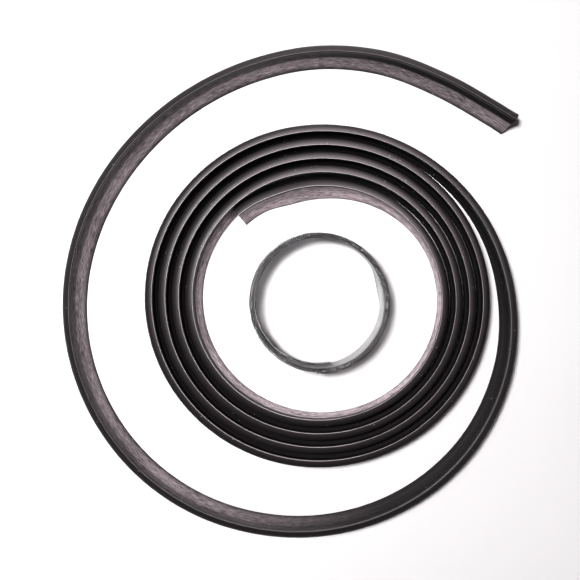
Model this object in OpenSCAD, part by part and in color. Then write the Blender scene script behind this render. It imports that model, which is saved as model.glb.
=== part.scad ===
// Rubber track strip, coiled for storage, with its coil of wire carrier.
// Millimetres, +Z up, origin at the middle of the footprint on the floor.
// Seen from above with +Y up, both coils wind outward clockwise.

/* [Strip section] */
// Height of the strip when it stands upright on its foot
strip_h = 16; // [12:0.5:24]
// Width of the smooth land along the top
land_w = 7.5; // [5:0.1:9]
// How far the foot reaches in past the sharp inner edge of the land
foot_flare = 4.5; // [3:0.25:7]
// Thickness of the foot at its tip
foot_t = 1.2; // [0.8:0.1:2.5]
// Drop of the rounded outer shoulder
shoulder_drop = 4; // [2:0.25:5]
// Depth of the groove under the inner edge of the land
groove_d = 1; // [0.5:0.1:2]
// Height of the steep wall between the groove and the rough apron
wall_h = 5; // [3:0.5:8]

/* [Tight coil] */
// Radius of the land's inner edge where the first full turn starts
coil_r = 105.5; // [95:0.5:160]
// Clearance at the foot between one turn and the next
turn_gap = 0.4; // [0.3:0.1:8]
// How much the coil is out of round, at each end of its longer diameter
coil_oval = 2; // [0:0.25:4]
// Turns that lie tight, counted from twelve o'clock
coil_turns = 4; // [2:1:6]
// Angle that the inner end reaches back before twelve o'clock
tail_angle = 44; // [10:1:120]
// Mean lean of the tight turns, positive when the top stands outward
coil_lean = -2.5; // [-6:0.5:6]
// How much that lean swings round the coil
lean_swing = 11.5; // [0:0.5:12]
// How much further outward the strip leans near its inner end
inner_lean = 20; // [0:1:24]

/* [Loose turn] */
// Angle of the loose last turn, past the tight ones
loose_angle = 407; // [200:1:415]
// How much further outward the loose turn leans, as a share of the full lean
loose_lean = 1; // [0:0.05:1]

/* [Wire carrier] */
// Height of the flattened wire spiral that the carrier is made of
carrier_h = 20; // [10:0.5:30]
// Thickness of that spiral, which is two wires and a little air
carrier_t = 1.4; // [0.8:0.1:2]
// Outer radius of the carrier coil
carrier_r = 64.5; // [40:0.5:78]
// Clearance between one wrap of the carrier and the next
wrap_gap = 0.25; // [0.2:0.05:2]
// Wraps in the carrier coil
wraps = 3.04; // [1.5:0.01:5]
// How far the inner end springs in from the other wraps
spring_in = 1.5; // [0:0.1:8]
// How far the top of the carrier coil leans over to the lower right
carrier_skew = 2.75; // [0:0.25:6]

/* [Hidden] */

// Distance that the last turn stands out from the coil, and how many degrees further
// outward it leans, at every 15 degrees
slack = [0, 0.1, 0.5, 1.8, 4, 7.2, 11.7, 18, 25, 32.4, 39.4, 45.6, 51.2, 56.1, 60.6,
         63.4, 64.6, 64.5, 63.2, 60.8, 58.2, 56.4, 56.1, 57.4, 60.3, 62.3, 63.3, 70.4, 92];
lean_more = [0, 0, 0, 2.2, 4.9, 10.1, 16.3, 18.8, 21, 20.7, 20.4, 18.8, 17, 15.3, 14.3,
             12.7, 11.4, 12.1, 14.5, 17.4, 19.3, 19.5, 19.1, 19.3, 21.5, 26.5, 31.7, 35.6, 38.9];
table_step = 15 / 360;
// Bearing towards which the coil's lean is greatest
lean_bearing = 275;
// Bearings, from twelve o'clock, that the inner end's lean grows and eases off between,
// and the share of it that the very end has
inner_grow = [-32, -14];
inner_ease = [-10, 70];
inner_share = 0.52;
// Degrees over which the inner end comes out to the next turn, and the share that it
// takes up of the room that its lean leaves there
inner_settle = 24;
inner_fill = 0.95;
// Degrees that both ends are cut further out at the tip of the foot than at the land
end_slant = 0.7;
// Share of an outward lean that the land tips by
land_tip = 0.6;
ring_step = 6;
// Bearing of the carrier's inner end, and the turn over which it closes up
carrier_start = 169;
spring_turns = 0.55;
skew_bearing = 150;
carrier_step = 7.5;
// Place of the carrier's middle, from the middle of the tight coil
carrier_x = -2.4;
carrier_y = -2;
// Thickness of the lip over the groove, the groove's height, the chamfer along the
// bottom of the outer wall, and how far the steep wall slopes in
groove_top = 0.6;
groove_h = 1.2;
base_chamfer = 0.8;
wall_set = 0.5;

coil_pitch = land_w + foot_flare + turn_gap;
wrap_pitch = carrier_t + wrap_gap;

// A bearing is clockwise from +Y, as on a clock face.
function at_bearing(angle, r) = [r * sin(angle), r * cos(angle)];
function ease(f) = let (g = min(max(f, 0), 1)) g * g * (3 - 2 * g);
function ease_over(a, range) = ease((a - range[0]) / (range[1] - range[0]));
function catmull(a, b, c, d, f) =
    b + 0.5 * f * (c - a + f * (2 * a - 5 * b + 4 * c - d + f * (3 * (b - c) + d - a)));
function steps(first, last, step) = let (n = ceil((last - first) / step))
    [for (i = [0:n]) first + (last - first) * i / n];

// Value of a table of the loose turn after t turns, nought in the tight coil
function loose_at(table, t) = let (
        s = max(t - coil_turns, 0) / table_step,
        i = min(floor(s), len(table) - 2),
        last = len(table) - 1)
    catmull(table[max(i - 1, 0)], table[i], table[i + 1], table[min(i + 2, last)], s - i);
// Radius of the land's inner edge, and lean of the strip, after t turns
function ridge_r(t) = coil_r + coil_pitch * t - coil_oval * cos(720 * t)
    + inner_out * (1 - ease((360 * t + tail_angle) / inner_settle)) + loose_at(slack, t);
function lean_at(t) = let (
        a = 360 * t,
        grown = inner_share + (1 - inner_share) * ease_over(a, inner_grow),
        inner = grown * (1 - ease_over(a, inner_ease)))
    coil_lean + lean_swing * cos(a - lean_bearing) + inner_lean * inner
        + loose_lean * loose_at(lean_more, t);

inner_end = -tail_angle / 360;
inner_out = inner_fill * strip_h * (tan(lean_at(inner_end)) - tan(lean_at(inner_end + 1)));

// The strip's section, as distance outward from the land's inner edge and height
wall_foot = strip_h - groove_top - groove_h - wall_h;
section = [
    [0, strip_h],
    [0.4 * land_w, strip_h - 0.08 * shoulder_drop],
    [0.7 * land_w, strip_h - 0.28 * shoulder_drop],
    [0.92 * land_w, strip_h - 0.6 * shoulder_drop],
    [land_w, strip_h - shoulder_drop],
    [land_w, base_chamfer],
    [land_w - base_chamfer, 0],
    [-foot_flare, 0],
    [-foot_flare, foot_t],
    [-0.4 * foot_flare, foot_t + 0.42 * (wall_foot - foot_t)],
    [-wall_set, wall_foot],
    [0, strip_h - groove_top - groove_h],
    [groove_d, strip_h - groove_top - groove_h / 2],
    [0, strip_h - groove_top]
];
// The foot lies flat, and the rest of the soft section leans over it.  Where it leans
// outward, the land tips a little with it.
function lean_share(p) = p[0] > groove_d
    ? strip_h * max(1 - p[1] / (strip_h - shoulder_drop), 0)
    : strip_h - p[1];
function ring_at(t, slant = 0) = let (
        slope = tan(lean_at(t)),
        tip = land_tip * max(slope, 0) / strip_h)
    [for (p = section) let (
            angle = 360 * t + slant * (land_w - p[0]) / (land_w + foot_flare),
            r = ridge_r(t) + p[0] - slope * lean_share(p),
            z = p[1] * (1 - tip * max(p[0], 0)))
        concat(at_bearing(angle, r), z)];
last_turn = coil_turns + loose_angle / 360;
strip_angles = steps(-tail_angle, 360 * last_turn, ring_step);
function end_sign(k) = k == 0 ? -1 : k == len(strip_angles) - 1 ? 1 : 0;
strip_rings = [
    for (k = [0:len(strip_angles) - 1]) ring_at(strip_angles[k] / 360, end_slant * end_sign(k))
];

// The footprint's middle, which the origin is put at
strip_x = [for (ring = strip_rings, p = ring) p[0]];
strip_y = [for (ring = strip_rings, p = ring) p[1]];
coil_x = -(min(strip_x) + max(strip_x)) / 2;
coil_y = -(min(strip_y) + max(strip_y)) / 2;

// A solid swept through a list of rings that have the same number of points
module sweep(rings) {
    n = len(rings[0]);
    last = len(rings) - 1;
    polyhedron(
        points = [for (ring = rings, p = ring) p],
        faces = concat(
            [[for (i = [n - 1:-1:0]) i]],
            [for (k = [0:last - 1], i = [0:n - 1]) let (j = (i + 1) % n)
                each [[k * n + i, k * n + j, (k + 1) * n + i],
                      [k * n + j, (k + 1) * n + j, (k + 1) * n + i]]],
            [[for (i = [0:n - 1]) last * n + i]]),
        convexity = 12);
}

// Middle radius of the carrier's wall after w wraps
function wrap_r(w) = carrier_r - carrier_t / 2 - (wraps - w) * wrap_pitch
    - spring_in * (1 - ease(w / spring_turns));
function carrier_point(w, out, z) = let (
        a = carrier_start + 360 * w,
        wall = at_bearing(a, wrap_r(w) + out),
        skew = at_bearing(skew_bearing, carrier_skew * (z / carrier_h - 0.5)))
    [wall[0] + skew[0], wall[1] + skew[1], z];
carrier_rings = [
    for (a = steps(0, 360 * wraps, carrier_step)) let (w = a / 360, half = carrier_t / 2)
        [carrier_point(w, half, 0), carrier_point(w, -half, 0),
         carrier_point(w, -half, carrier_h), carrier_point(w, half, carrier_h)]
];

module rubber_strip() {
    color("#2b282a") translate([coil_x, coil_y, 0]) sweep(strip_rings);
}
module carrier_wire() {
    color("#8d8f90")
        translate([coil_x + carrier_x, coil_y + carrier_y, 0]) sweep(carrier_rings);
}

rubber_strip();
carrier_wire();
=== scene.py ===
"""Coiled rubber track strip with its small coil of steel wire carrier.

Everything is in metres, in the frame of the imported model.  Both pieces follow the
routes of the design's own solids, which they replace with finer ones.
"""

import math

import bmesh
import bpy
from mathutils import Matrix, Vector, noise


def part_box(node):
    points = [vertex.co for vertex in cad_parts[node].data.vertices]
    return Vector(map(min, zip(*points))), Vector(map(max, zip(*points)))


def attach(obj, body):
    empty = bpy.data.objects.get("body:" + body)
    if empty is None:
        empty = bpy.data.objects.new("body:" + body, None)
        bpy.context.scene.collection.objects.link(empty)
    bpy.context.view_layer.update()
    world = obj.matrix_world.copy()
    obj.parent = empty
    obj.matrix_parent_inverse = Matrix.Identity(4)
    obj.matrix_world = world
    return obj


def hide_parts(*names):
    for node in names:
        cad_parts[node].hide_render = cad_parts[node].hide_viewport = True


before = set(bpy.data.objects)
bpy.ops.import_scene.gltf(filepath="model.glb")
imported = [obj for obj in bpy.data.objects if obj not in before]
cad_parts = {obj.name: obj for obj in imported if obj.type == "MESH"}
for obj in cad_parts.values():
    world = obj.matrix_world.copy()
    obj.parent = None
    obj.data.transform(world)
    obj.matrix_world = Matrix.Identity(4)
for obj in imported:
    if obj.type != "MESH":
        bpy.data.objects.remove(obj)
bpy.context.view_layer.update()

MM = 0.001

# ---------------------------------------------------------------- strip values
STRIP_H = 16 * MM
LAND_W = 7.5 * MM
FOOT_FLARE = 4.5 * MM
FOOT_T = 1.2 * MM
SHOULDER_DROP = 4 * MM
GROOVE_D = 1 * MM
GROOVE_TOP = 0.6 * MM
GROOVE_H = 1.2 * MM
WALL_H = 5 * MM
WALL_SET = 0.5 * MM
BASE_CHAMFER = 0.8 * MM
COIL_R = 105.5 * MM
COIL_PITCH = 12.4 * MM
COIL_OVAL = 2 * MM
COIL_TURNS = 4
TAIL_ANGLE = 44
LOOSE_ANGLE = 407
END_SLANT = 0.7
COIL_LEAN = -2.5
LEAN_SWING = 11.5
LEAN_BEARING = 275
INNER_LEAN = 20
INNER_GROW = (-32, -14)
INNER_EASE = (-10, 70)
INNER_SHARE = 0.52
INNER_OUT = 2.88 * MM
INNER_SETTLE = 24
# Share of an outward lean that the land tips by
LAND_TIP = 0.6
# Millimetres that the last turn stands out from the coil, and how many degrees further
# outward it leans, at every 15 degrees
SLACK = (0, 0.1, 0.5, 1.8, 4, 7.2, 11.7, 18, 25, 32.4, 39.4, 45.6, 51.2, 56.1, 60.6,
         63.4, 64.6, 64.5, 63.2, 60.8, 58.2, 56.4, 56.1, 57.4, 60.3, 62.3, 63.3, 70.4, 92)
LEAN_MORE = (0, 0, 0, 2.2, 4.9, 10.1, 16.3, 18.8, 21, 20.7, 20.4, 18.8, 17, 15.3, 14.3,
             12.7, 11.4, 12.1, 14.5, 17.4, 19.3, 19.5, 19.1, 19.3, 21.5, 26.5, 31.7, 35.6, 38.9)
TABLE_STEP = 15 / 360
# How far the fine outer wall is set in, to stay within the coarser solid
SKIN = 0.2 * MM
# Angle from one section of the fine mesh to the next
STATION_DEG = 1.25
# Radius of the worn inner edge, and how far the land's crown lies under it
RIDGE_R = 0.2 * MM
CROWN_DROP = 0.05 * MM
# How far the outer wall is hollowed between its two edges
WALL_HOLLOW = 0.1 * MM
# Where the apron starts past the tip, the points that it has, and how full it is
APRON_START = 0.35 * MM
APRON_STEPS = 8
APRON_FULLNESS = 0.16
# How uneven the buffed apron and the extruded faces are, and over what length
BUFFED_ROUGH, BUFFED_LENGTH = 0.16 * MM, 9 * MM
SMOOTH_ROUGH, SMOOTH_LENGTH = 0.04 * MM, 30 * MM

# Stretches by their distance along the strip, with ends past the strip's own where open
INNER_END = (-1, 0.16)
INNER_TURN = (-1, 0.70)
TIGHT_TURNS = (-1, 3.45)
OUTER_TURN = (3.7, 9)
LOOSE_TURN = (3.95, 4.60)
FREE_END = (4.60, 9)

# -------------------------------------------------------------- carrier values
CARRIER_H = 20 * MM
WIRE_D = 0.7 * MM
WALL_T = 1.4 * MM
CARRIER_R = 64.5 * MM
WRAP_PITCH = 1.65 * MM
WRAPS = 3.04
# How far the inner wrap's upper edge springs in; its lower edge stays by the others
SPRING_IN = 3.7 * MM
SPRING_TURNS = 0.55
CARRIER_SKEW = 2.75 * MM
SKEW_BEARING = 150
CARRIER_START = 169
CARRIER_X = -2.4 * MM
CARRIER_Y = -2 * MM
# Angle from one loop of the spiral to the next, and the share of it that the wire moves
# on by as it crosses over the top
LOOP_DEG = 1.7
TOP_SHARE = 0.45
# Wraps between which the inner wrap's lower edge bulges in, and how far
BULGE = (0.69, 0.81)
BULGE_IN = 2.4 * MM


# ------------------------------------------------------------------ small maths
def at_bearing(degrees, radius):
    """A point at a bearing, clockwise from +Y as on a clock face."""
    a = math.radians(degrees)
    return Vector((radius * math.sin(a), radius * math.cos(a), 0.0))


def ease(f):
    g = min(max(f, 0.0), 1.0)
    return g * g * (3 - 2 * g)


def ease_over(a, limits):
    return ease((a - limits[0]) / (limits[1] - limits[0]))


def catmull(a, b, c, d, f):
    return b + 0.5 * f * (c - a + f * (2 * a - 5 * b + 4 * c - d + f * (3 * (b - c) + d - a)))


def loose_at(table, t):
    """Value of a table of the loose turn after t turns, nought in the tight coil."""
    f = max(t - COIL_TURNS, 0) / TABLE_STEP
    last = len(table) - 1
    i = min(int(f), last - 1)
    return catmull(table[max(i - 1, 0)], table[i], table[i + 1], table[min(i + 2, last)], f - i)


def ridge_r(t):
    """Radius of the land's inner edge after t turns."""
    oval = COIL_OVAL * math.cos(math.radians(720 * t))
    stand_out = INNER_OUT * (1 - ease((360 * t + TAIL_ANGLE) / INNER_SETTLE))
    return COIL_R + COIL_PITCH * t - oval + stand_out + loose_at(SLACK, t) * MM


def lean_at(t):
    grown = INNER_SHARE + (1 - INNER_SHARE) * ease_over(360 * t, INNER_GROW)
    inner = grown * (1 - ease_over(360 * t, INNER_EASE))
    swing = LEAN_SWING * math.cos(math.radians(360 * t - LEAN_BEARING))
    return COIL_LEAN + swing + INNER_LEAN * inner + loose_at(LEAN_MORE, t)


# ------------------------------------------------------------- material helpers
def new_material(name):
    material = bpy.data.materials.new(name)
    material.use_nodes = True
    nodes = material.node_tree.nodes
    return material, nodes, material.node_tree.links, nodes["Principled BSDF"]


def node(nodes, kind, **values):
    made = nodes.new(kind)
    for name, value in values.items():
        if hasattr(made, name):
            setattr(made, name, value)
        else:
            made.inputs[name.replace("_", " ")].default_value = value
    return made


def maths(nodes, links, operation, *values, clamp=False):
    made = nodes.new("ShaderNodeMath")
    made.operation = operation
    made.use_clamp = clamp
    for socket, value in zip(made.inputs, values):
        if isinstance(value, (int, float)):
            socket.default_value = value
        else:
            links.new(value, socket)
    return made.outputs[0]


def soft_step(nodes, links, value, edge, soft, before, after):
    made = node(nodes, "ShaderNodeMapRange", interpolation_type="SMOOTHSTEP")
    made.inputs["From Min"].default_value = edge - soft
    made.inputs["From Max"].default_value = edge + soft
    made.inputs["To Min"].default_value = before
    made.inputs["To Max"].default_value = after
    links.new(value, made.inputs["Value"])
    return made.outputs[0]


def band(nodes, links, value, low, high, soft):
    """One inside low..high and nought outside, with soft edges."""
    up = soft_step(nodes, links, value, low, soft, 0, 1)
    down = soft_step(nodes, links, value, high, soft, 1, 0)
    return maths(nodes, links, "MULTIPLY", up, down)


def mix_colour(nodes, links, factor, a, b, blend="MIX"):
    made = nodes.new("ShaderNodeMix")
    made.data_type = "RGBA"
    made.blend_type = blend
    for socket, value in ((made.inputs[0], factor), (made.inputs[6], a), (made.inputs[7], b)):
        if isinstance(value, (int, float)):
            socket.default_value = value
        elif isinstance(value, tuple):
            socket.default_value = (*value, 1)
        else:
            links.new(value, socket)
    return made.outputs[2]


# Share of the cells that hold no speck
SPECK_FREE = 0.86


def grain_group():
    """Fine dust and grain: a value that varies over the surface, and a mask of specks."""
    group = bpy.data.node_groups.new("grain_and_dust", "ShaderNodeTree")
    face = group.interface
    face.new_socket("Vector", in_out="INPUT", socket_type="NodeSocketVector")
    for name in ("Grain Scale", "Speck Scale", "Speck Size"):
        face.new_socket(name, in_out="INPUT", socket_type="NodeSocketFloat")
    for name in ("Grain", "Specks"):
        face.new_socket(name, in_out="OUTPUT", socket_type="NodeSocketFloat")
    nodes, links = group.nodes, group.links
    enter = nodes.new("NodeGroupInput")
    leave = nodes.new("NodeGroupOutput")
    grain = node(nodes, "ShaderNodeTexNoise", Detail=4, Roughness=0.65)
    links.new(enter.outputs["Vector"], grain.inputs["Vector"])
    links.new(enter.outputs["Grain Scale"], grain.inputs["Scale"])
    links.new(grain.outputs["Fac"], leave.inputs["Grain"])
    specks = nodes.new("ShaderNodeTexVoronoi")
    links.new(enter.outputs["Vector"], specks.inputs["Vector"])
    links.new(enter.outputs["Speck Scale"], specks.inputs["Scale"])
    near = maths(nodes, links, "LESS_THAN", specks.outputs["Distance"], enter.outputs["Speck Size"])
    chosen = node(nodes, "ShaderNodeSeparateColor")
    links.new(specks.outputs["Color"], chosen.inputs[0])
    few = maths(nodes, links, "GREATER_THAN", chosen.outputs[0], SPECK_FREE)
    links.new(maths(nodes, links, "MULTIPLY", near, few), leave.inputs["Specks"])
    return group


GRAIN = grain_group()


def add_grain(nodes, links, vector, grain_scale, speck_scale, speck_size):
    made = nodes.new("ShaderNodeGroup")
    made.node_tree = GRAIN
    made.inputs["Grain Scale"].default_value = grain_scale
    made.inputs["Speck Scale"].default_value = speck_scale
    made.inputs["Speck Size"].default_value = speck_size
    links.new(vector, made.inputs["Vector"])
    return made.outputs["Grain"], made.outputs["Specks"]


def noise_along(nodes, links, uv, along, across, detail, roughness=0.5):
    """Noise on the strip's own map, with its own scale along it and across it."""
    scaled = node(nodes, "ShaderNodeMapping")
    scaled.inputs["Scale"].default_value = (along, across, 1)
    links.new(uv, scaled.inputs["Vector"])
    made = node(nodes, "ShaderNodeTexNoise", Scale=1.0, Detail=detail, Roughness=roughness)
    links.new(scaled.outputs[0], made.inputs["Vector"])
    return made.outputs["Fac"]


# ------------------------------------------------------------- strip's section
def arc(centre_x, centre_z, radius_x, radius_z, start, end, count):
    points = []
    for i in range(count + 1):
        a = math.radians(start + (end - start) * i / count)
        points.append((centre_x + radius_x * math.cos(a), centre_z + radius_z * math.sin(a)))
    return points


def strip_section():
    """Points outward from the land's inner edge and up, and the name of each stretch."""
    outer = LAND_W - SKIN
    hollow = outer - WALL_HOLLOW
    top = STRIP_H
    wall_top = top - GROOVE_TOP - GROOVE_H
    wall_foot = wall_top - WALL_H
    tip_r = FOOT_T / 2
    rows = []

    def add(name, points):
        rows.extend((x, z, name) for x, z in points)

    add("ridge", arc(RIDGE_R, top - RIDGE_R, RIDGE_R, RIDGE_R, 180, 100, 2))
    add("land", arc(0, top - SHOULDER_DROP, outer, SHOULDER_DROP - CROWN_DROP, 84, 0, 11))
    add("outer", [(hollow, 0.55 * top), (hollow, 0.3 * top)])
    add("outer", [(outer, 2 * BASE_CHAMFER), (outer, BASE_CHAMFER)])
    add("base", [(outer - BASE_CHAMFER, 0), (0, 0), (-FOOT_FLARE + tip_r, 0)])
    add("tip", arc(-FOOT_FLARE + tip_r, tip_r, tip_r, tip_r, 250, 130, 3))
    # The apron rises from the tip, full in the middle, and turns up into the wall.
    for i in range(APRON_STEPS + 1):
        f = i / APRON_STEPS
        x = -FOOT_FLARE + APRON_START + (FOOT_FLARE - WALL_SET - APRON_START) * f
        swell = APRON_FULLNESS * math.sin(2 * math.pi * f) * (1 - f)
        rows.append((x, FOOT_T + (wall_foot - FOOT_T) * (f + swell), "apron"))
    add("wall", [(-0.35 * WALL_SET, wall_foot + 0.35 * WALL_H),
                 (-0.1 * WALL_SET, wall_foot + 0.75 * WALL_H), (0, wall_top)])
    add("groove", [(0.6 * GROOVE_D, wall_top + 0.12 * GROOVE_H),
                   (GROOVE_D, wall_top + 0.5 * GROOVE_H),
                   (0.6 * GROOVE_D, wall_top + 0.88 * GROOVE_H)])
    add("lip", [(0, top - GROOVE_TOP)])
    return rows


SECTION = strip_section()


def section_lengths():
    """Distance round the section at each of its points, and all the way round."""
    total = 0.0
    lengths = []
    for i, row in enumerate(SECTION):
        lengths.append(total)
        after = SECTION[(i + 1) % len(SECTION)]
        total += math.hypot(after[0] - row[0], after[1] - row[1])
    return lengths, total


ACROSS, PERIMETER = section_lengths()


def stretch(name):
    """First and last distance round the section of one named stretch."""
    places = [ACROSS[i] for i, row in enumerate(SECTION) if row[2] == name]
    return min(places), max(places)


# ---------------------------------------------------------------- rubber strip
def strip_stations():
    first = -TAIL_ANGLE / 360
    last = COIL_TURNS + LOOSE_ANGLE / 360
    count = math.ceil((last - first) * 360 / STATION_DEG)
    return [first + (last - first) * i / count for i in range(count + 1)]


def strip_point(row, t, along, slant):
    """Where one point of the section lies after t turns, with its face's unevenness."""
    out, up, name = SECTION[row]
    slope = math.tan(math.radians(lean_at(t)))
    rough = 0.0
    if name == "apron":
        rough = BUFFED_ROUGH * noise.noise(Vector((along / BUFFED_LENGTH, row * 0.9, 3.0)))
    elif name in ("wall", "land"):
        rough = SMOOTH_ROUGH * noise.noise(Vector((along / SMOOTH_LENGTH, row * 0.7, 8.0)))
    share = STRIP_H - up
    if out > GROOVE_D:
        share = STRIP_H * max(1 - up / (STRIP_H - SHOULDER_DROP), 0)
    radius = ridge_r(t) + out - slope * share + rough
    turned = slant * (LAND_W - out) / (LAND_W + FOOT_FLARE)
    point = at_bearing(360 * t + turned, radius)
    point.z = up * (1 - LAND_TIP * max(slope, 0) * max(out, 0) / STRIP_H)
    return point


def strip_lengths(stations):
    """Distance along the land's inner edge at each station."""
    lengths = [0.0]
    before = at_bearing(360 * stations[0], ridge_r(stations[0]))
    for t in stations[1:]:
        here = at_bearing(360 * t, ridge_r(t))
        lengths.append(lengths[-1] + (here - before).length)
        before = here
    return lengths


def build_strip():
    """A grid, bent into the section one way and along the coil's route the other."""
    stations = strip_stations()
    lengths = strip_lengths(stations)
    rows, last = len(SECTION), len(stations) - 1
    bm = bmesh.new()
    bmesh.ops.create_grid(bm, x_segments=rows, y_segments=last, size=0.5)
    uv = bm.loops.layers.uv.new("strip")
    places = {}
    for vert in bm.verts:
        row = round((vert.co.x + 0.5) * rows)
        station = round((vert.co.y + 0.5) * last)
        places[vert] = (lengths[station], ACROSS[row] if row < rows else PERIMETER)
        # Both ends are cut a little aslant, over a few stations.
        slant = END_SLANT * (max(0, station - last + 2) - max(0, 2 - station)) / 2
        vert.co = strip_point(row % rows, stations[station], lengths[station], slant)
    for face in bm.faces:
        face.smooth = True
        for loop in face.loops:
            loop[uv].uv = places[loop.vert]
    bmesh.ops.remove_doubles(bm, verts=bm.verts, dist=0.001 * MM)
    ends = bmesh.ops.holes_fill(bm, edges=[e for e in bm.edges if e.is_boundary], sides=0)
    for face in ends["faces"]:
        face.smooth = False
    bmesh.ops.triangulate(bm, faces=ends["faces"])
    bmesh.ops.recalc_face_normals(bm, faces=bm.faces)
    mesh = bpy.data.meshes.new("track_strip")
    bm.to_mesh(mesh)
    bm.free()
    mesh.set_sharp_from_angle(angle=math.radians(38))
    return bpy.data.objects.new("track_strip", mesh)


# Colours of the extruded rubber, its top face with a painted sheen, its torn fibres and what lies
# on it
EXTRUDED = ((0.006, 0.0052, 0.0057), (0.014, 0.012, 0.013))
LAND_SHEEN = ((0.016, 0.0135, 0.0150), (0.045, 0.039, 0.042))
FIBRES = ((0.035, 0.030, 0.032), (0.82, 0.71, 0.75))
# Painted shade in the groove under the land's inner edge
GROOVE_SHADE = (0.003, 0.003, 0.003)
# Painted highlight along the land's inner edge
RIDGE_HIGHLIGHT = (0.46, 0.42, 0.44)
SPECK = (0.42, 0.39, 0.41)


def rubber_dust_and_shade(nodes, links, along, across, apron):
    """How much of the pale, torn, dusty face shows: painted only on the inner and loose turns and
    the free end, as painted light, so the tight coil's valleys stay dark as painted shade.
    """
    low, high = stretch("apron")
    inner_turn = band(nodes, links, along, *INNER_TURN, 0.02)
    loose_turn = band(nodes, links, along, *LOOSE_TURN, 0.12)
    free_end = band(nodes, links, along, *FREE_END, 0.12)
    # The dust's share along the strip is painted light and shade: none in the tight coil, less on
    # the free end
    dust_and_shade_along = maths(nodes, links, "MULTIPLY_ADD", loose_turn, 0.55, inner_turn)
    dust_and_shade_along = maths(nodes, links, "MULTIPLY_ADD", free_end, 0.42, dust_and_shade_along)
    # Painted shade darkens it towards the tip of the foot, from the outer turn on
    tip = band(nodes, links, across, -1, low + 1.3 * MM, 1.1 * MM)
    outer_turn = band(nodes, links, along, *OUTER_TURN, 0.1)
    tip_shade = maths(nodes, links, "MULTIPLY", tip, outer_turn)
    tip_shade_factor = maths(nodes, links, "MULTIPLY_ADD", tip_shade, -0.55, 1)
    on_apron = maths(nodes, links, "MULTIPLY", maths(nodes, links, "MULTIPLY", apron, dust_and_shade_along), tip_shade_factor)
    # The pale dust is painted up the wall too, by the inner end and thinly on the loose turn, as
    # painted light
    wall = band(nodes, links, across, high, stretch("wall")[1] - 0.5 * MM, 0.4 * MM)
    inner_end = band(nodes, links, along, *INNER_END, 0.16)
    on_wall = maths(nodes, links, "MULTIPLY_ADD", loose_turn, 0.28, inner_end)
    on_wall = maths(nodes, links, "MULTIPLY", wall, on_wall)
    return maths(nodes, links, "MAXIMUM", on_apron, on_wall)


def rubber_material():
    material, nodes, links, shader = new_material("black_rubber")
    uv = node(nodes, "ShaderNodeUVMap", uv_map="strip").outputs[0]
    parts = nodes.new("ShaderNodeSeparateXYZ")
    links.new(uv, parts.inputs[0])
    along, across = parts.outputs["X"], parts.outputs["Y"]
    place = nodes.new("ShaderNodeTexCoord").outputs["Object"]

    apron_low, apron_high = stretch("apron")
    apron = band(nodes, links, across, apron_low - 0.3 * MM, apron_high + 0.2 * MM, 1.1 * MM)
    land = band(nodes, links, across, -1 * MM, stretch("land")[1], 0.5 * MM)
    groove = band(nodes, links, across, stretch("groove")[0] - 0.3 * MM,
                  stretch("lip")[1] - 0.1 * MM, 0.15 * MM)
    # A painted highlight along the land's inner edge, stronger in the tight turns
    ridge = band(nodes, links, across, -1 * MM, 0.55 * MM, 0.25 * MM)
    tight = band(nodes, links, along, *TIGHT_TURNS, 0.2)
    ridge_highlight_mask = maths(nodes, links, "MULTIPLY_ADD", tight, 0.65, 0.2)
    ridge_highlight_mask = maths(nodes, links, "MULTIPLY", ridge, ridge_highlight_mask)
    dust_and_shade = rubber_dust_and_shade(nodes, links, along, across, apron)

    # Streaks that run along the strip, from the buffing wheel, and longer patches
    streaks = noise_along(nodes, links, uv, 130, 2300, 5, 0.62)
    patches = noise_along(nodes, links, uv, 22, 160, 2)
    grain, specks = add_grain(nodes, links, place, 1400, 210, 0.13)
    ramp = nodes.new("ShaderNodeValToRGB")
    for element, position, colour in zip(ramp.color_ramp.elements, (0.34, 0.66), FIBRES):
        element.position = position
        element.color = (*colour, 1)
    uneven = maths(nodes, links, "MULTIPLY_ADD", patches, 0.22, -0.11)
    links.new(maths(nodes, links, "ADD", streaks, uneven), ramp.inputs[0])

    colour = mix_colour(nodes, links, grain, *EXTRUDED)
    colour = mix_colour(nodes, links, dust_and_shade, colour, ramp.outputs[0])
    # The land is painted lighter than the other faces, a painted sheen
    colour = mix_colour(nodes, links, land, colour, mix_colour(nodes, links, grain, *LAND_SHEEN))
    # The groove is painted near-black, painted shade in the recess
    colour = mix_colour(nodes, links, groove, colour, GROOVE_SHADE)
    colour = mix_colour(nodes, links, ridge_highlight_mask, colour, RIDGE_HIGHLIGHT)
    faint = maths(nodes, links, "MULTIPLY", specks, 0.55)
    links.new(mix_colour(nodes, links, faint, colour, SPECK), shader.inputs["Base Color"])

    rough = maths(nodes, links, "MULTIPLY_ADD", apron, 0.34, 0.44)
    wobble = maths(nodes, links, "MULTIPLY_ADD", grain, 0.16, -0.08)
    links.new(maths(nodes, links, "ADD", rough, wobble, clamp=True), shader.inputs["Roughness"])

    # Fine extrusion lines everywhere, and a torn, fibrous face on the apron
    lines = noise_along(nodes, links, uv, 4, 2600, 2)
    torn = maths(nodes, links, "MULTIPLY", streaks, apron)
    height = maths(nodes, links, "MULTIPLY_ADD", lines, 0.12, torn)
    height = maths(nodes, links, "MULTIPLY_ADD", grain, 0.12, height)
    bump = node(nodes, "ShaderNodeBump", Strength=0.55, Distance=0.45 * MM)
    links.new(height, bump.inputs["Height"])
    links.new(bump.outputs[0], shader.inputs["Normal"])
    shader.inputs["Specular IOR Level"].default_value = 0.5
    return material


# ---------------------------------------------------------------- wire carrier
def wrap_r(w, z):
    closing = SPRING_IN * (1 - ease(w / SPRING_TURNS)) * z / CARRIER_H
    return CARRIER_R - WALL_T / 2 - (WRAPS - w) * WRAP_PITCH - closing


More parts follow.
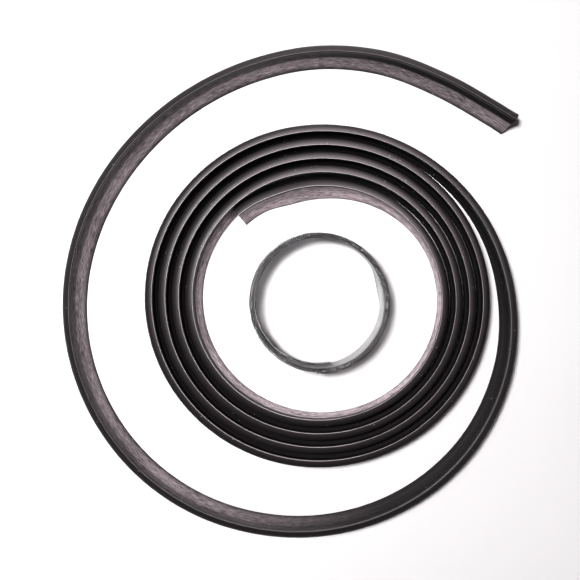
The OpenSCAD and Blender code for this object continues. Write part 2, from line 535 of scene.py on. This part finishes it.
def carrier_point(w, out, z):
    share = (w - BULGE[0]) / (BULGE[1] - BULGE[0])
    if 0 < share < 1:
        out -= BULGE_IN * math.sin(math.pi * share) ** 2 * (1 - z / CARRIER_H)
    point = at_bearing(CARRIER_START + 360 * w, wrap_r(w, z) + out)
    point += at_bearing(SKEW_BEARING, CARRIER_SKEW * (z / CARRIER_H - 0.5))
    point.z = z
    return point


def tube(name, points, radius):
    """A tube of six sides along points, as a mesh with its place in its vertices."""
    curve = bpy.data.curves.new(name, "CURVE")
    curve.dimensions = "3D"
    curve.bevel_depth = radius
    curve.bevel_resolution = 1
    curve.use_fill_caps = True
    spline = curve.splines.new("POLY")
    spline.points.add(len(points) - 1)
    for place, point in zip(spline.points, points):
        place.co = (*point, 1)
    holder = bpy.data.objects.new(name + "_curve", curve)
    bpy.context.collection.objects.link(holder)
    graph = bpy.context.evaluated_depsgraph_get()
    mesh = bpy.data.meshes.new_from_object(holder.evaluated_get(graph))
    bpy.data.objects.remove(holder)
    bpy.data.curves.remove(curve)
    mesh.name = name
    for polygon in mesh.polygons:
        polygon.use_smooth = True
    return bpy.data.objects.new(name, mesh)


def loop_points():
    """The wire goes up the inner side, over the top, down the outer side and back under."""
    low, high = WIRE_D / 2, CARRIER_H - WIRE_D / 2
    side = (WALL_T - WIRE_D) / 2
    bend = 0.8 * side
    loop = LOOP_DEG / 360
    points = []
    for i in range(int(WRAPS / loop)):
        up = i * loop
        down = up + TOP_SHARE * loop
        turn_in = 0.2 * (down - up)
        route = ((up, -side, low + bend), (up, -side, high - bend),
                 (up + turn_in, -0.7 * side, high - 0.3 * bend),
                 ((up + down) / 2, 0, high),
                 (down - turn_in, 0.7 * side, high - 0.3 * bend),
                 (down, side, high - bend), (down, side, low + bend),
                 ((down + up + loop) / 2, 0, low))
        points.extend(carrier_point(*place) for place in route)
    return points


# Colours of the bare wire, of the painted shade on its bends with pale patches, and of the dirt on
# it
STEEL = ((0.62, 0.615, 0.62), (0.88, 0.875, 0.87))
EDGE_SHADE = ((0.012, 0.011, 0.012), (0.80, 0.79, 0.80))
DIRT = (0.08, 0.07, 0.065)
# Heights between which the wire's sides are left clear of painted shade, and how soft the change is
UNSHADED_SIDES = (1.3 * MM, CARRIER_H - 3 * MM, 0.6 * MM)


def steel_material():
    material, nodes, links, shader = new_material("drawn_steel_wire")
    place = nodes.new("ShaderNodeTexCoord").outputs["Object"]
    grain, specks = add_grain(nodes, links, place, 900, 500, 0.10)
    colour = mix_colour(nodes, links, grain, *STEEL)
    faint = maths(nodes, links, "MULTIPLY", specks, 0.5)
    colour = mix_colour(nodes, links, faint, colour, DIRT)
    # The bends along both edges are painted dark, in patches, as painted shade.
    height = nodes.new("ShaderNodeSeparateXYZ")
    links.new(place, height.inputs[0])
    unshaded_sides = band(nodes, links, height.outputs["Z"], *UNSHADED_SIDES)
    patches = node(nodes, "ShaderNodeTexNoise", Scale=520, Detail=1)
    links.new(place, patches.inputs["Vector"])
    pale_patches = band(nodes, links, patches.outputs["Fac"], 0.60, 2, 0.03)
    edge_shade = mix_colour(nodes, links, pale_patches, *EDGE_SHADE)
    links.new(mix_colour(nodes, links, unshaded_sides, edge_shade, colour), shader.inputs["Base Color"])
    shader.inputs["Metallic"].default_value = 0.05
    shader.inputs["Specular IOR Level"].default_value = 0.1
    rough = maths(nodes, links, "MULTIPLY_ADD", grain, 0.22, 0.38)
    links.new(rough, shader.inputs["Roughness"])
    bump = node(nodes, "ShaderNodeBump", Strength=0.3, Distance=0.1 * MM)
    links.new(grain, bump.inputs["Height"])
    links.new(bump.outputs[0], shader.inputs["Normal"])
    return material


# ------------------------------------------------------------------- put in place
def settle(piece, material, offset):
    """Give the piece its finish, and its place in its mesh."""
    for vert in piece.data.vertices:
        vert.co += offset
    piece.data.materials.clear()
    piece.data.materials.append(material)
    bpy.context.collection.objects.link(piece)
    return piece


def middle(box):
    low, high = (Vector(corner) for corner in box)
    return (low + high) / 2


def own_box(piece):
    places = [vert.co for vert in piece.data.vertices]
    return [[pick(place[i] for place in places) for i in range(3)] for pick in (min, max)]


strip = build_strip()
coil_place = middle(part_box("rubber_strip")) - middle(own_box(strip))
coil_place.z = 0
settle(strip, rubber_material(), coil_place)
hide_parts("rubber_strip")
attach(strip, "strip_coil")

carrier_place = coil_place + Vector((CARRIER_X, CARRIER_Y, 0))
wire = settle(tube("spiral_wire", loop_points(), WIRE_D / 2), steel_material(), carrier_place)
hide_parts("carrier_wire")
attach(wire, "carrier_coil")


# ------------------------------------------------------------- floor and lights
# The table ends before the light on it falls off
TABLE_R = 0.72
TABLE = ((0.86, 0.85, 0.855), (0.90, 0.89, 0.895))
# Bearing, height in degrees, distance, width, power and colour of each light
LIGHTS = {
    "key": (300, 65, 1.6, 0.48, 25, (1.0, 0.99, 0.993)),
    "bounce": (125, 42, 1.5, 1.20, 1.3, (1.0, 0.93, 0.96)),
    "high_sheen": (20, 70, 1.4, 1.10, 26, (1.0, 0.91, 0.94)),
    "low_sheen": (8, 24, 1.4, 1.60, 7, (1.0, 0.91, 0.94)),
}
# Lights that only show as a sheen on the rubber, and leave the table as it is
SHEENS = ("high_sheen", "low_sheen")
# Light that comes from all round, and how much paler the backdrop is to look at
AMBIENT = 0.025
BACKDROP = 0.85


def floor():
    bm = bmesh.new()
    bmesh.ops.create_circle(bm, cap_ends=True, segments=128, radius=TABLE_R)
    mesh = bpy.data.meshes.new("floor")
    bm.to_mesh(mesh)
    bm.free()
    made = bpy.data.objects.new("floor", mesh)
    material, nodes, links, shader = new_material("pale_table")
    place = nodes.new("ShaderNodeTexCoord").outputs["Object"]
    cloud = node(nodes, "ShaderNodeTexNoise", Scale=6, Detail=2)
    links.new(place, cloud.inputs["Vector"])
    colour = mix_colour(nodes, links, cloud.outputs["Fac"], *TABLE)
    links.new(colour, shader.inputs["Base Color"])
    shader.inputs["Roughness"].default_value = 0.7
    shader.inputs["Specular IOR Level"].default_value = 0.0
    mesh.materials.append(material)
    bpy.context.collection.objects.link(made)


def softbox(name, bearing, height_deg, distance, size, power, colour):
    light = bpy.data.lights.new(name, "AREA")
    light.shape = "DISK"
    light.size = size
    light.energy = power
    light.color = colour
    made = bpy.data.objects.new(name, light)
    rise = math.radians(height_deg)
    place = at_bearing(bearing, distance * math.cos(rise))
    place.z = distance * math.sin(rise)
    made.location = place
    made.rotation_euler = (-place).to_track_quat("-Z", "Y").to_euler()
    bpy.context.collection.objects.link(made)
    return made


def studio():
    world = bpy.data.worlds.new("studio")
    world.use_nodes = True
    nodes, links = world.node_tree.nodes, world.node_tree.links
    nodes["Background"].inputs[0].default_value = (1.0, 0.955, 0.98, 1)
    looked_at = nodes.new("ShaderNodeLightPath").outputs["Is Camera Ray"]
    strength = maths(nodes, links, "MULTIPLY_ADD", looked_at, BACKDROP, AMBIENT)
    links.new(strength, nodes["Background"].inputs[1])
    bpy.context.scene.world = world
    for name, values in LIGHTS.items():
        light = softbox(name, *values)
        light.visible_diffuse = name not in SHEENS
    scene_view = bpy.context.scene.view_settings
    scene_view.view_transform = "Standard"
    scene_view.look = "High Contrast"


# The camera is straight above this point of the table, at this height over the strip,
# where it sees this width of the strip's top
VIEW_X = -0.68 * MM
VIEW_Y = 1.3 * MM
VIEW_HEIGHT = 504 * MM
VIEW_WIDTH = 527.8 * MM
SENSOR_WIDTH = 36


def camera():
    data = bpy.data.cameras.new("above")
    data.sensor_width = SENSOR_WIDTH
    data.lens = SENSOR_WIDTH * VIEW_HEIGHT / VIEW_WIDTH
    made = bpy.data.objects.new("above", data)
    made.location = (VIEW_X, VIEW_Y, VIEW_HEIGHT + STRIP_H)
    bpy.context.collection.objects.link(made)
    bpy.context.scene.camera = made


floor()
studio()
camera()
